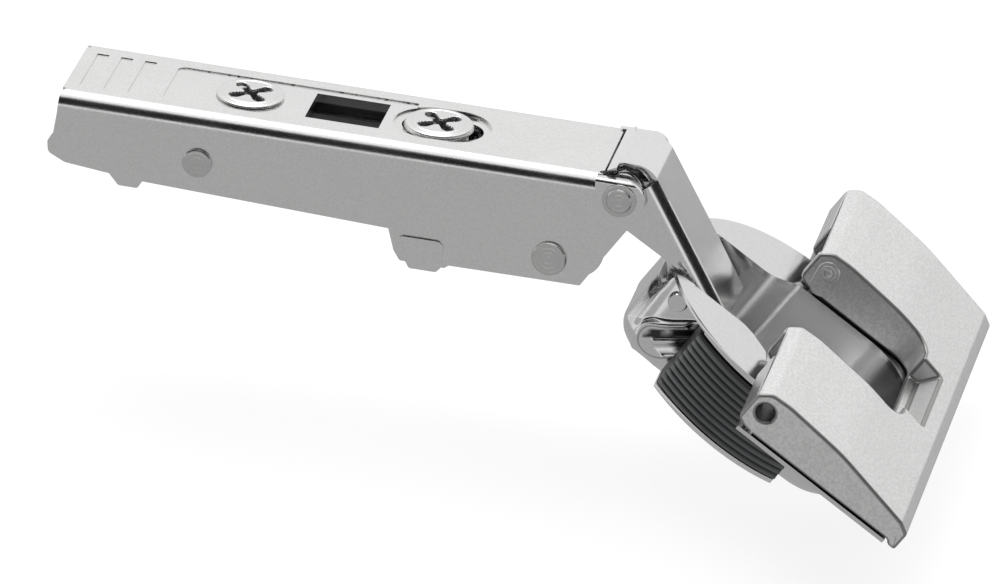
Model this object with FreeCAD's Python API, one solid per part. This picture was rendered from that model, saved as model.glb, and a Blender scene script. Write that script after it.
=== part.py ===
import FreeCAD
import Part
import math
import os

# Concealed cup hinge with a clip-on arm and a lever-clamped cup, shown fully open.
# Millimetres. The arm runs along X towards the cup, Y is across, Z is up.
# Arm pieces are drawn from the front pivot axis (x = 0) and the arm's top face (z = 0),
# cup pieces from the cup's centre (u, v, n), with n out of the cup's mouth.
V = FreeCAD.Vector

# Where the arm's drawing origin lies in the part's frame (front hook, seat plane)
PIVOT_X = 22.8
WEB_TOP = 15.7

# Sheet and fits
SHEET = 1.2
RUN = 0.05
GAP = 0.3

# Arm
ARM_HALF = 8.0
ARM_REAR = -66.2
WEB_FRONT = -2.35
ARM_BEND = 1.85
ARM_DEPTH = 13.8
PIVOT_DROP = 2.4
EAR_FRONT = 2.9
EAR_TOP = -0.1
EAR_R = 2.5
FOOT_X = -3.7
EAR_EDGE = 0.55
ARM_IN = ARM_HALF - SHEET
PANEL_REAR = -54.8
PANEL_HALF = 4.7
PANEL_DEEP = 0.15
GRIP_COUNT = 3
GRIP_FIRST = -64.6
GRIP_WIDE = 1.4
GRIP_PITCH = 2.85
WINDOW_REAR = -38.1
WINDOW_LONG = 8.7
WINDOW_HALF = 3.5
PAD_PROUD = 0.25

# Rivets of the arm
LINK_RIVET_R = 1.3
LINK_HEAD_R = 1.5
LINK_COLLAR_R = 2.0
SPRING_RIVET_X = -7.5
SPRING_RIVET_Z = -10.95
SPRING_RIVET_R = 1.2
SPRING_HEAD_R = 2.05
REAR_RIVET_X = -49.4
REAR_RIVET_Z = -5.95
REAR_RIVET_R = 1.25
REAR_HEAD_R = 1.75
HEAD_PROUD = 0.4

# Adapter, the inner channel that clips on the mounting plate
ADAPTER_HALF = ARM_IN - GAP
ADAPTER_SHEET = 1.1
ADAPTER_TOP = -3.2
ADAPTER_LOW = -9.3
ADAPTER_REAR = -62.5
ADAPTER_FRONT = -19.5
HOOK_FOOT = -15.7
DEPTH_TRAVEL = 2.0
CLIP_HALF = ADAPTER_HALF - ADAPTER_SHEET - GAP
CLIP_SHEET = 1.0
CLIP_PIN_X = -60.4
CLIP_PIN_Z = -6.0
CLIP_PIN_R = 1.0
CLIP_FRONT = -54.6
CLIP_REAR = -65.4
CLIP_TOP = -3.4
CLIP_SWING = 12
LEAF_THICK = 0.35
LEAF_HALF = 2.4

# Screws
DEPTH_SCREW_X = -45.33
SIDE_SCREW_X = -22.97
SCREW_HEAD_R = 3.95
SCREW_HEAD_TOP = 0.32
NECK_R = 2.2
THREAD_R = 2.8
CAM_R = 6.35
CAM_TOP = -1.35
CAM_THICK = 1.2
CAM_MID = 3.5
CAM_RISE = 0.8
NIB_R = 0.5
CAM_SPAN = DEPTH_TRAVEL / CAM_RISE
SCREW_LOW = -8.0
RING_TOP = -1.5
RING_LOW = -2.05
SIDE_SLOT_REAR = -27.3
SIDE_SLOT_FRONT = -17.7
SIDE_SLOT_HALF = 2.6
SIDE_WELL_HALF = 4.4
SIDE_WELL_DEEP = 0.35
CROSS_LONG = 4.6
CROSS_WIDE = 0.95

# Outer link: its top face runs down from the knee at LINK_SLOPE below the arm
KNEE_X = 3.8
KNEE_Z = -0.7
LINK_SLOPE = 58.4
LINK_PLAY = 0.7
LINK_HALF = ARM_IN - LINK_PLAY
LINK_START = -0.1
LINK_BEND = 1.7
LINK_LONG = 18.5
ROOF_TOP = 0.9
ROOF_REAR = -2.0
ROOF_HALF = 4.7
ROOF_SHEET = 0.75
INNER_HALF = LINK_HALF - SHEET - LINK_PLAY
INNER_SHEET = 1.1
SLOT_SIDE = 0.75
SLOT_FRONT = 2.5
SLOT_REAR = 1.2

# Cup, in its own frame
OPEN_ANGLE = 122.2
CUP_X = 20.57
CUP_Z = -18.73
HOLE_R = 17.3
CUP_REAR = -16.6
CUP_WALL = 0.9
CUP_HALF = LINK_HALF + 1.3 + CUP_WALL
CUP_WIDE = CUP_HALF + 2.6
CUP_NOSE_R = 7.0
CUP_FLOOR = -11.7
CUP_FRONT = 16.4
CUP_REAR_OPEN = -14.4
REAR_LIP = -3.2
FLANGE_TOP = 0.05
FLANGE_THICK = 0.5
LEAF_R = 17.5
FLAP_HALF = 29.5
FLAP_IN = ARM_HALF + 2.3
FLANGE_END = 19.6
FLANGE_REAR = -1.6
PIN_A_U = -9.96
PIN_A_N = -5.64
PIN_A_R = 1.1
PIN_B_U = -13.39
PIN_B_N = -2.39
PIN_B_R = 1.0

# Flap lever and jaws
FLAP_PIN_U = -0.2
FLAP_PIN_N = 3.35
FLAP_PIN_R = 0.8
FLAP_PIN_END = 19.5
FLAP_WALL = 1.5
FLAP_BACK = -2.25
FLAP_LOW = 0.2
FLAP_SWING = 3.1
END_HOLE_R = 1.1
END_HOLE_DEEP = 6.0
LUG_IN = FLAP_IN + 1.7
LUG_THICK = 1.2
LUG_R = 1.25
FLAP_RIB = 18.0
MOUTH_FRONT = 14.5
JAW_REAR = -9.8
JAW_FRONT = 7.6
JAW_TOP = -1.3
JAW_LOW = -9.4
JAW_IN = 9.6
JAW_TRAVEL = 0.8
JAW_RIBS = 10
CARRIER_THICK = 0.6

SLOPE = math.radians(LINK_SLOPE)


# Plain shapes
def corner_arc(before, at, after, radius):
    """Tangent points and middle of the arc that rounds the corner `at`."""
    to_before = (before - at).normalize()
    to_after = (after - at).normalize()
    half = to_before.getAngle(to_after) / 2
    reach = radius / math.tan(half)
    bisector = (to_before + to_after).normalize()
    centre = at + bisector * (radius / math.sin(half))
    middle = centre - bisector * radius
    return at + to_before * reach, middle, at + to_after * reach


def outline(points, place):
    """Closed face through (a, b) or (a, b, radius) corners, set in space by place(a, b)."""
    corners = [(place(p[0], p[1]), p[2] if len(p) > 2 else 0) for p in points]
    count = len(corners)
    edges = []
    stops = []
    for i, (at, radius) in enumerate(corners):
        before = corners[i - 1][0]
        after = corners[(i + 1) % count][0]
        if radius:
            stops.append(corner_arc(before, at, after, radius))
        else:
            stops.append((at, None, at))
    for i, (start, middle, end) in enumerate(stops):
        if middle is not None:
            edges.append(Part.Arc(start, middle, end).toShape())
        nxt = stops[(i + 1) % count][0]
        if end.distanceToPoint(nxt) > 1e-6:
            edges.append(Part.LineSegment(end, nxt).toShape())
    return Part.Face(Part.Wire(edges))


def side_plate(points, y0, y1):
    """Outline in X and Z, from y0 to y1."""
    return outline(points, lambda a, b: V(a, y0, b)).extrude(V(0, y1 - y0, 0))


def flat_plate(points, z0, z1):
    """Outline in X and Y, from z0 to z1."""
    return outline(points, lambda a, b: V(a, b, z0)).extrude(V(0, 0, z1 - z0))


def block(x0, x1, y0, y1, z0, z1):
    return Part.makeBox(x1 - x0, y1 - y0, z1 - z0, V(x0, y0, z0))


def rod(x, z, radius, y0, y1):
    return Part.makeCylinder(radius, y1 - y0, V(x, y0, z), V(0, 1, 0))


def post(x, y, radius, z0, z1):
    return Part.makeCylinder(radius, z1 - z0, V(x, y, z0), V(0, 0, 1))


def slot_z(x0, x1, half, z0, z1):
    """Obround from x0 to x1, along X."""
    middle = block(x0 + half, x1 - half, -half, half, z0, z1)
    return middle.fuse([post(x0 + half, 0, half, z0, z1), post(x1 - half, 0, half, z0, z1)])


def both(make):
    """The near and the far copy of what make(side) draws."""
    return [make(-1), make(1)]


def span(side, inner, outer):
    """Y limits of a plate between two distances from the middle, on one side."""
    return (inner, outer) if side > 0 else (-outer, -inner)


def join(first, others):
    return first.fuse(others).removeSplitter()


def channel(x0, x1, half, top, low, sheet, bend):
    """Folded U channel along X with its web on top."""
    points = [(-half, low), (-half, top, bend), (half, top, bend), (half, low),
              (half - sheet, low), (half - sheet, top - sheet, bend - sheet),
              (sheet - half, top - sheet, bend - sheet), (sheet - half, low)]
    return outline(points, lambda a, b: V(x0, a, b)).extrude(V(x1 - x0, 0, 0))


def tangent_from(px, pz, cx, cz, radius, turn):
    """Point where the line from (px, pz) touches a circle, on the side given by turn."""
    away = math.hypot(px - cx, pz - cz)
    heading = math.atan2(pz - cz, px - cx) + turn * math.acos(radius / away)
    return cx + radius * math.cos(heading), cz + radius * math.sin(heading)


def rivet(x, z, shaft_r, head_r, half, proud):
    """Rivet across the part: shaft to the outer faces and a chamfered head on each."""
    heads = []
    for side in (-1, 1):
        head = rod(x, z, head_r, *span(side, half, half + proud))
        rim = [e for e in head.Edges if abs(e.BoundBox.YMin * side - half - proud) < 1e-6
               and abs(e.BoundBox.YMax * side - half - proud) < 1e-6]
        heads.append(head.makeChamfer(proud / 3, rim))
    return join(rod(x, z, shaft_r, -half, half), heads)


# Arm
def arm_side():
    """Side outline of the arm, with the rounded ear of the link pivot in front."""
    rear, low = ARM_REAR, -ARM_DEPTH
    hook = ADAPTER_FRONT
    return [(rear, 0), (rear - 0.1, -2.4), (rear - 0.4, -5.2), (rear - 1.0, -6.1, 0.5),
            (rear - 0.85, -7.5, 0.8), (rear + 1.2, -8.5, 1.5), (rear + 10.4, -9.4),
            (hook - 7.0, -10.4), (hook - 6.2, -13.0, 0.5), (hook - 5.4, -14.2, 0.4),
            (hook - 0.1, -14.3, 0.3), (hook + 0.4, low - 0.1), (FOOT_X, low, 0.3),
            (EAR_FRONT, -PIVOT_DROP - 0.85, 1.6), (EAR_FRONT, EAR_TOP, EAR_R - 0.25),
            (WEB_FRONT + 0.25, EAR_TOP), (WEB_FRONT, 0)]


def arm_pad(side):
    """Pad pressed outwards over the front hook: what it adds and what it hollows."""
    hook = ADAPTER_FRONT
    corners = [(hook - 6.0, -11.0, 0.6), (hook - 0.4, -11.0, 0.8), (hook - 0.4, -14.05, 0.6),
               (hook - 5.0, -14.05, 0.8)]
    outer = side_plate(corners, *span(side, ARM_HALF, ARM_HALF + PAD_PROUD))
    inner = side_plate(corners, *span(side, ARM_IN, ARM_IN + PAD_PROUD))
    return outer, inner


def arm():
    ear_rear = WEB_FRONT - 0.6
    body = channel(ARM_REAR - 1.2, ear_rear, ARM_HALF, 0, -16, SHEET, ARM_BEND)
    # The ears stand flat to their edges: no web rounds them off
    for side in (-1, 1):
        y0, y1 = span(side, ARM_IN, ARM_HALF)
        ear = block(ear_rear, EAR_FRONT + 1, y0, y1, -16, EAR_TOP)
        edge = [e for e in ear.Edges if e.BoundBox.ZMin > EAR_TOP - 1e-4
                and abs(e.BoundBox.YMin - side * ARM_HALF) < 1e-4 and e.BoundBox.YLength < 1e-4]
        body = body.fuse(ear.makeFillet(EAR_EDGE, edge))
    body = body.fuse(block(ear_rear, WEB_FRONT, -ARM_IN, ARM_IN, -SHEET, 0))
    body = body.common(side_plate(arm_side(), -ARM_HALF - 1, ARM_HALF + 1))
    pads = both(arm_pad)
    body = body.fuse([p[0] for p in pads])
    cuts = [p[1] for p in pads]
    # Relief notches where the web's ends meet the bends
    notch_y = ARM_HALF - ARM_BEND
    for side in (-1, 1):
        cuts.append(post(WEB_FRONT, side * notch_y, 0.45, -2, 1))
        cuts.append(post(ARM_REAR, side * (notch_y + 0.2), 0.4, -2, 1))
    # Grip strips and the long sunk panel
    for i in range(GRIP_COUNT):
        x = GRIP_FIRST + i * GRIP_PITCH
        cuts.append(block(x, x + GRIP_WIDE, -PANEL_HALF, PANEL_HALF, -PANEL_DEEP, 1))
    panel = [(PANEL_REAR, -PANEL_HALF, 1.0), (SIDE_SLOT_REAR + 1, -PANEL_HALF),
             (SIDE_SLOT_REAR + 1, PANEL_HALF), (PANEL_REAR, PANEL_HALF, 1.0)]
    cuts.append(flat_plate(panel, -PANEL_DEEP, 1))
    cuts.append(slot_z(SIDE_SLOT_REAR - 1.0, SIDE_SLOT_FRONT + 0.9, SIDE_WELL_HALF,
                       -PANEL_DEEP - SIDE_WELL_DEEP, 1))
    # Openings: the side screw's slot, the depth screw's hole and the window
    cuts.append(slot_z(SIDE_SLOT_REAR, SIDE_SLOT_FRONT, SIDE_SLOT_HALF, -2, 1))
    cuts.append(post(DEPTH_SCREW_X, 0, NECK_R + RUN, -2, 1))
    window_front = WINDOW_REAR + WINDOW_LONG
    cuts.append(block(WINDOW_REAR, window_front, -WINDOW_HALF, WINDOW_HALF, -2, 1))
    # Rivet holes
    cuts.append(rod(0, -PIVOT_DROP, LINK_RIVET_R + RUN, -9, 9))
    cuts.append(rod(SPRING_RIVET_X, SPRING_RIVET_Z, SPRING_RIVET_R + RUN, -9, 9))
    cuts.append(rod(REAR_RIVET_X, REAR_RIVET_Z, REAR_RIVET_R + RUN, -9, 9))
    return body.cut(cuts).removeSplitter()


def link_rivet():
    body = rivet(0, -PIVOT_DROP, LINK_RIVET_R, LINK_HEAD_R, ARM_HALF, HEAD_PROUD)
    collars = [rod(0, -PIVOT_DROP, LINK_COLLAR_R, *span(s, ARM_HALF, ARM_HALF + HEAD_PROUD / 2))
               for s in (-1, 1)]
    return join(body, collars)


def spring_rivet():
    return rivet(SPRING_RIVET_X, SPRING_RIVET_Z, SPRING_RIVET_R, SPRING_HEAD_R, ARM_HALF, HEAD_PROUD)


def rear_rivet():
    return rivet(REAR_RIVET_X, REAR_RIVET_Z, REAR_RIVET_R, REAR_HEAD_R, ARM_HALF, HEAD_PROUD)


# Adapter and clip
def adapter_side():
    rear, front, low = ADAPTER_REAR, ADAPTER_FRONT, ADAPTER_LOW
    foot = HOOK_FOOT
    return [(rear, ADAPTER_TOP), (rear, low + 1.5, 1.0), (rear + 2.2, low), (front - 7.0, low, 0.8),
            (front - 6.2, -13.0), (front - 4.5, foot, 0.4), (front - 1.3, foot, 0.4),
            (front, foot + 1.6), (front, ADAPTER_TOP)]


def adapter():
    body = channel(ADAPTER_REAR, ADAPTER_FRONT, ADAPTER_HALF, ADAPTER_TOP, HOOK_FOOT - 1,
                   ADAPTER_SHEET, ADAPTER_SHEET + 0.6)
    body = body.common(side_plate(adapter_side(), -ADAPTER_HALF - 1, ADAPTER_HALF + 1))
    low_web = ADAPTER_TOP - ADAPTER_SHEET
    nib = post(DEPTH_SCREW_X + CAM_MID, 0, NIB_R, low_web, CAM_TOP - CAM_THICK + 0.5)
    collar = post(SIDE_SCREW_X, 0, THREAD_R + 1.2, low_web - 2.4, low_web)
    body = body.fuse([nib, collar])
    axis_slot = []
    reach = DEPTH_TRAVEL + RUN
    for x in (REAR_RIVET_X - reach, REAR_RIVET_X + reach):
        axis_slot.append(rod(x, REAR_RIVET_Z, REAR_RIVET_R + RUN, -9, 9))
    high = REAR_RIVET_R + RUN
    axis_slot.append(block(REAR_RIVET_X - reach, REAR_RIVET_X + reach, -9, 9,
                           REAR_RIVET_Z - high, REAR_RIVET_Z + high))
    cuts = axis_slot + [
        post(SIDE_SCREW_X, 0, THREAD_R + RUN, -12, 0),
        block(WINDOW_REAR - 1, WINDOW_REAR + WINDOW_LONG + 1, -4.6, 4.6, -6, 0),
        # Clip lever's place at the rear of the web
        block(ADAPTER_REAR - 1, CLIP_FRONT + 0.6, -CLIP_HALF - GAP, CLIP_HALF + GAP, -6, 0),
        rod(CLIP_PIN_X, CLIP_PIN_Z, CLIP_PIN_R + 0.01, -9, 9),
        # Mouth of the front hook
        block(ADAPTER_FRONT - 8, ADAPTER_FRONT - 3.2, -9, 9, -13.9, -12.3)]
    return body.cut(cuts).removeSplitter()


def clip_lever():
    """Sprung lever with two rear hooks and a finger tab under the arm's end."""
    side = [(CLIP_REAR, CLIP_TOP), (CLIP_REAR, CLIP_TOP - 2.2, 0.6), (CLIP_PIN_X - 2.0, -7.6, 1.0),
            (CLIP_PIN_X - 1.4, -9.9, 0.3), (CLIP_PIN_X - 0.4, -9.8), (CLIP_PIN_X + 1.3, -11.7, 0.4),
            (CLIP_PIN_X + 3.6, -11.7, 0.4), (CLIP_PIN_X + 4.4, -10.2), (CLIP_PIN_X + 3.4, -7.0, 1.0),
            (CLIP_FRONT, CLIP_TOP - 2.4, 0.5), (CLIP_FRONT, CLIP_TOP)]
    body = channel(CLIP_REAR, CLIP_FRONT, CLIP_HALF, CLIP_TOP, -14, CLIP_SHEET, CLIP_SHEET + 0.5)
    body = body.common(side_plate(side, -9, 9))
    hole = rod(CLIP_PIN_X, CLIP_PIN_Z, CLIP_PIN_R + RUN, -9, 9)
    return body.cut(hole).removeSplitter()


def clip_pin():
    return rod(CLIP_PIN_X, CLIP_PIN_Z, CLIP_PIN_R, -ADAPTER_HALF, ADAPTER_HALF)


def clip_spring():
    """Bent leaf spring from the adapter's web to the lever's web over the pin."""
    seat = ADAPTER_TOP - ADAPTER_SHEET
    front = CLIP_FRONT + 1.0
    slope = math.tan(math.radians(CLIP_SWING))
    tip_z = CLIP_TOP - CLIP_SHEET - 0.06
    low_z = tip_z - (front - CLIP_PIN_X) * slope
    top = [(CLIP_PIN_X - 0.2, tip_z), (front - LEAF_THICK, low_z), (front - LEAF_THICK, seat)]
    low = [(front + 1.4, seat), (front + 1.4, seat - LEAF_THICK), (front, seat - LEAF_THICK, 0.1),
           (front, low_z - LEAF_THICK, 0.4), (CLIP_PIN_X - 0.2, tip_z - LEAF_THICK)]
    return side_plate(top + low, -LEAF_HALF, LEAF_HALF)


# Screws
def cross_cut(x, top):
    """Cross recess with a square middle."""
    half_long = CROSS_LONG / 2
    half_wide = CROSS_WIDE / 2
    low = top - 0.5
    bars = [block(x - half_long, x + half_long, -half_wide, half_wide, low, top + 1),
            block(x - half_wide, x + half_wide, -half_long, half_long, low, top + 1),
            block(x - half_wide * 1.5, x + half_wide * 1.5, -half_wide * 1.5, half_wide * 1.5,
                  low - 0.3, top + 1)]
    cross = bars[0].fuse(bars[1:])
    cross.rotate(V(x, 0, 0), V(0, 0, 1), 40)
    return cross


def screw_head(x, seat):
    head = post(x, 0, SCREW_HEAD_R, seat, SCREW_HEAD_TOP)
    rim = [e for e in head.Edges if e.BoundBox.ZMin > SCREW_HEAD_TOP - 1e-4]
    return head.makeFillet((SCREW_HEAD_TOP - seat) * 0.45, rim)


def spiral_band():
    """Flat spiral band swept by the adapter's nib under the cam."""
    half = NIB_R + GAP
    steps = 12
    first = -CAM_SPAN - half / (CAM_MID - DEPTH_TRAVEL)
    last = CAM_SPAN + half / (CAM_MID + DEPTH_TRAVEL)
    angles = [first + (last - first) * i / steps for i in range(steps + 1)]
    z = CAM_TOP - CAM_THICK - 0.5

    def at(angle, off):
        r = CAM_MID + CAM_RISE * angle + off
        return V(DEPTH_SCREW_X + r * math.cos(angle), r * math.sin(angle), z)

    outer = Part.BSplineCurve()
    outer.interpolate([at(a, half) for a in angles])
    inner = Part.BSplineCurve()
    inner.interpolate([at(a, -half) for a in reversed(angles)])
    ends = [Part.LineSegment(at(angles[-1], half), at(angles[-1], -half)).toShape(),
            Part.LineSegment(at(angles[0], -half), at(angles[0], half)).toShape()]
    wire = Part.Wire([outer.toShape(), ends[0], inner.toShape(), ends[1]])
    return Part.Face(wire).extrude(V(0, 0, 0.5 + 0.85))


def depth_screw():
    """Cam screw: its spiral groove runs on the adapter's nib and slides the arm."""
    seat = -PANEL_DEEP + 0.05
    body = screw_head(DEPTH_SCREW_X, seat)
    body = body.fuse([post(DEPTH_SCREW_X, 0, NECK_R, CAM_TOP, seat),
                      post(DEPTH_SCREW_X, 0, CAM_R, CAM_TOP - CAM_THICK, CAM_TOP)])
    return body.cut([spiral_band(), cross_cut(DEPTH_SCREW_X, SCREW_HEAD_TOP)]).removeSplitter()


def side_screw():
    """Screw that sets the arm's height at its front: head, neck and thread."""
    seat = -PANEL_DEEP - SIDE_WELL_DEEP + GAP
    body = screw_head(SIDE_SCREW_X, seat)
    body = body.fuse([post(SIDE_SCREW_X, 0, NECK_R, RING_LOW, seat),
                      post(SIDE_SCREW_X, 0, THREAD_R, SCREW_LOW, RING_LOW)])
    return body.cut(cross_cut(SIDE_SCREW_X, SCREW_HEAD_TOP)).removeSplitter()


def side_ring():
    """Retaining ring below the arm's web, round the side screw's neck."""
    ring = post(SIDE_SCREW_X, 0, SCREW_HEAD_R - 0.4, RING_LOW + RUN, RING_TOP)
    return ring.cut(post(SIDE_SCREW_X, 0, NECK_R + RUN, RING_LOW - 1, RING_TOP + 1))


# Links
def link_point(s, d):
    """Point at s along the outer link's top face from the knee, d below that face."""
    along = V(math.cos(SLOPE), 0, -math.sin(SLOPE))
    inward = V(-math.sin(SLOPE), 0, -math.cos(SLOPE))
    return V(KNEE_X, 0, KNEE_Z) + along * s + inward * d


def link_coords(x, z):
    """The s and d of a point given in the arm's frame."""
    dx, dz = x - KNEE_X, z - KNEE_Z
    return (dx * math.cos(SLOPE) - dz * math.sin(SLOPE), -dx * math.sin(SLOPE) - dz * math.cos(SLOPE))


def link_plate(points, y0, y1):
    """Outline in s and d, from y0 to y1."""
    lift = V(0, y0, 0)
    return outline(points, lambda a, b: link_point(a, b) + lift).extrude(V(0, y1 - y0, 0))


def outer_link():
    pivot_s, pivot_d = link_coords(0, -PIVOT_DROP)
    pin_s, pin_d = link_coords(*arm_xz(PIN_A_U, PIN_A_N))
    eye_r = PIN_A_R + SHEET
    # Folded channel from the knee to the end, trimmed to the flange's side outline
    section = [(-LINK_HALF, 12), (-LINK_HALF, 0, LINK_BEND), (LINK_HALF, 0, LINK_BEND), (LINK_HALF, 12),
               (LINK_HALF - SHEET, 12), (LINK_HALF - SHEET, SHEET, LINK_BEND - SHEET),
               (SHEET - LINK_HALF, SHEET, LINK_BEND - SHEET), (SHEET - LINK_HALF, 12)]
    start = LINK_START
    face = outline(section, lambda a, b: link_point(start, b) + V(0, a, 0))
    body = face.extrude(link_point(LINK_LONG, 0) - link_point(start, 0))
    flange = [(start, 0), (LINK_LONG, 0), (LINK_LONG, pin_d), (pin_s - eye_r, pin_d),
              (pin_s - eye_r - 0.3, 2.1, 0.6), (10.8, 2.05, 3.0), (pivot_s + 2.9, 6.4, 1.0),
              (pivot_s - 0.6, pivot_d + EAR_R - 0.15), (pivot_s, pivot_d), (pivot_s - 1.0, pivot_d - 1.9),
              (start - 0.35, 1.75, 1.0), (start, 1.2, 0.5)]
    body = body.common(link_plate(flange, -LINK_HALF - 1, LINK_HALF + 1))
    inner = LINK_HALF - SHEET
    extra = []
    for side in (-1, 1):
        y0, y1 = span(side, inner, LINK_HALF)
        extra.append(rod(0, -PIVOT_DROP, EAR_R, y0, y1))
        px, pz = arm_xz(PIN_A_U, PIN_A_N)
        extra.append(rod(px, pz, eye_r, y0, y1))
        # Collar that fills the step between link and arm
        extra.append(rod(0, -PIVOT_DROP, LINK_RIVET_R + 0.8, *span(side, LINK_HALF, ARM_IN - 0.1)))
    extra.append(link_roof())
    body = body.fuse(extra)
    px, pz = arm_xz(PIN_A_U, PIN_A_N)
    holes = [rod(0, -PIVOT_DROP, LINK_RIVET_R + RUN, -9, 9), rod(px, pz, PIN_A_R + RUN, -9, 9)]
    return body.cut(holes).removeSplitter()


def link_roof():
    """Tongue of the outer link that curls over the pivot, level with the arm."""
    start = link_point(2.6, 0)
    start_in = link_point(2.6, SHEET)
    knee_x = KNEE_X - (ROOF_TOP - KNEE_Z) / math.tan(SLOPE)
    inner_x = knee_x - 0.67
    low = ROOF_TOP - ROOF_SHEET
    roof = [(ROOF_REAR, ROOF_TOP - 0.6), (-0.8, ROOF_TOP, 2.0), (knee_x, ROOF_TOP, 3.2),
            (start.x, start.z), (start_in.x, start_in.z), (inner_x, low, 2.0),
            (-0.8, low, 1.0), (ROOF_REAR, low - 0.6)]
    tongue = side_plate(roof, -ROOF_HALF, ROOF_HALF)
    strip = side_plate(roof, -LINK_HALF, LINK_HALF)
    return tongue.fuse(strip.common(block(ROOF_REAR - 1, -0.9, -9, 9, -2, 3)))


def inner_link():
    """Bowed double link between the arm's spring rivet and the cup's upper pin."""
    bx, bz = arm_xz(PIN_B_U, PIN_B_N)
    ax, az = SPRING_RIVET_X, SPRING_RIVET_Z
    eye_b = PIN_B_R + 1.0
    eye_a = SPRING_RIVET_R + SLOT_SIDE + 1.2
    bs, bd = link_coords(bx, bz)
    top = SHEET + GAP
    knee = link_point(3.2, top)
    end_top = link_point(bs, bd - eye_b)
    end_low = link_point(bs - 0.6, bd + eye_b * 0.95)
    neck = link_point(bs - 3.6, top + 2.3)
    bend = link_point(4.2, 5.5)
    left = tangent_from(-1.6, -4.9, ax, az, eye_a, 1)
    right = tangent_from(bend.x, bend.z, ax, az, eye_a, -1)
    pts = [(end_top.x, end_top.z), (knee.x, knee.z, 3.0), (-1.6, -4.9, 3.0), left, (ax, az), right,
           (bend.x, bend.z, 1.2), (neck.x, neck.z, 1.5), (end_low.x, end_low.z), (bx, bz)]
    plates = []
    for side in (-1, 1):
        y0, y1 = span(side, INNER_HALF - INNER_SHEET, INNER_HALF)
        plate = side_plate(pts, y0, y1)
        plate = plate.fuse([rod(ax, az, eye_a, y0, y1), rod(bx, bz, eye_b, y0, y1)])
        # Open pivot: a slot round the arm's rivet
        plate = plate.fuse(slot_along(ax, az, bx, bz, SLOT_FRONT, SLOT_REAR, eye_a, y0, y1))
        plate = plate.cut([slot_along(ax, az, bx, bz, SLOT_FRONT, SLOT_REAR,
                                      SPRING_RIVET_R + SLOT_SIDE, y0 - 1, y1 + 1),
                           rod(bx, bz, PIN_B_R + RUN, y0 - 1, y1 + 1)])
        plates.append(plate)
    web = link_plate([(5.6, top), (10.8, top), (10.8, top + INNER_SHEET), (5.6, top + INNER_SHEET)],
                     -INNER_HALF, INNER_HALF)
    return join(web, plates)


def slot_along(ax, az, bx, bz, front, rear, radius, y0, y1):
    """Obround about (ax, az) that reaches front towards (bx, bz) and rear away from it."""
    heading = V(bx - ax, 0, bz - az).normalize()
    across = V(-heading.z, 0, heading.x) * radius
    lead = V(ax, y0, az) + heading * front
    tail = V(ax, y0, az) - heading * rear
    face = Part.Face(Part.makePolygon([lead + across, tail + across, tail - across,
                                       lead - across, lead + across]))
    bar = face.extrude(V(0, y1 - y0, 0))
    return bar.fuse([rod(lead.x, lead.z, radius, y0, y1), rod(tail.x, tail.z, radius, y0, y1)])


def closing_spring():
    """Coil round the spring rivet with a leg under the web and one towards the link."""
    wire_r = 0.42
    coil_r = SPRING_RIVET_R + 0.25 + wire_r
    # The coil fills the room between the inner link's plates with whole turns
    height = 2 * (INNER_HALF - INNER_SHEET - 0.38 - wire_r)
    turns = int(height / (2 * wire_r + 0.2))
    helix = Part.makeHelix(height / turns, height, coil_r)
    start = V(coil_r, 0, 0)
    corners = []
    for i in range(9):
        angle = math.pi / 4 * i
        corners.append(start + V(wire_r * math.cos(angle), 0, wire_r * math.sin(angle)))
    coil = Part.Wire(helix.Edges).makePipeShell([Part.makePolygon(corners)], True, True)
    lower = Part.makeCylinder(wire_r, 7.0, start, V(0, -1, 0))
    upper = Part.makeCylinder(wire_r, 6.0, start + V(0, 0, height), V(0, 1, 0))
    body = coil.fuse([lower, upper])
    body.translate(V(0, 0, -height / 2))
    body.rotate(V(0, 0, 0), V(1, 0, 0), 90)
    body.rotate(V(0, 0, 0), V(0, 1, 0), 62)
    body.translate(V(SPRING_RIVET_X, 0, SPRING_RIVET_Z))
    return body


# Cup group, drawn in u, v, n and turned to the open pose
def cup_place(shape):
    shape.rotate(V(0, 0, 0), V(0, 1, 0), OPEN_ANGLE - 90)
    shape.translate(V(CUP_X, 0, CUP_Z))
    return shape


def arm_xz(u, n):
    """Arm-frame X and Z of a point of the cup at the open pose."""
    turn = math.radians(OPEN_ANGLE)
    return (CUP_X + u * math.sin(turn) - n * math.cos(turn),
            CUP_Z + u * math.cos(turn) + n * math.sin(turn))


def cup_pocket(inset, floor, top):
    """Drawn cup: narrow round the links, wider in front, with rounded corners."""
    half = [(CUP_REAR, CUP_HALF - 4.1, 3.2), (CUP_REAR + 2.3, CUP_HALF, 3.2), (-5.4, CUP_HALF, 3.2),
            (-2.0, CUP_WIDE, 3.2), (12.0, CUP_WIDE, CUP_NOSE_R), (CUP_FRONT, 6.2, CUP_NOSE_R)]
    plan = half + [(u, -v, r) for u, v, r in reversed(half)]
    face = outline(plan, lambda a, b: V(a, b, floor))
    if inset:
        face = face.makeOffset2D(-inset)
    tub = face.extrude(V(0, 0, top - floor))
    bottom = [e for e in tub.Edges if e.BoundBox.ZMax < floor + 1e-4]
    return tub.makeFillet(2.6 - inset, bottom)


def wing_outline():
    """Flange: a round leaf on each side and a wide wing under the flap."""
    reach = math.sqrt(LEAF_R ** 2 - FLANGE_REAR ** 2)
    back = Part.Arc(V(FLANGE_REAR, -reach, 0), V(-LEAF_R, 0, 0), V(FLANGE_REAR, reach, 0)).toShape()
    pts = [V(FLANGE_REAR, reach, 0), V(FLANGE_REAR, FLAP_HALF, 0), V(FLANGE_END, FLAP_HALF, 0),
           V(FLANGE_END, -FLAP_HALF, 0), V(FLANGE_REAR, -FLAP_HALF, 0), V(FLANGE_REAR, -reach, 0)]
    edges = [Part.LineSegment(a, b).toShape() for a, b in zip(pts, pts[1:])]
    return Part.Face(Part.Wire([back] + edges))


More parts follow.
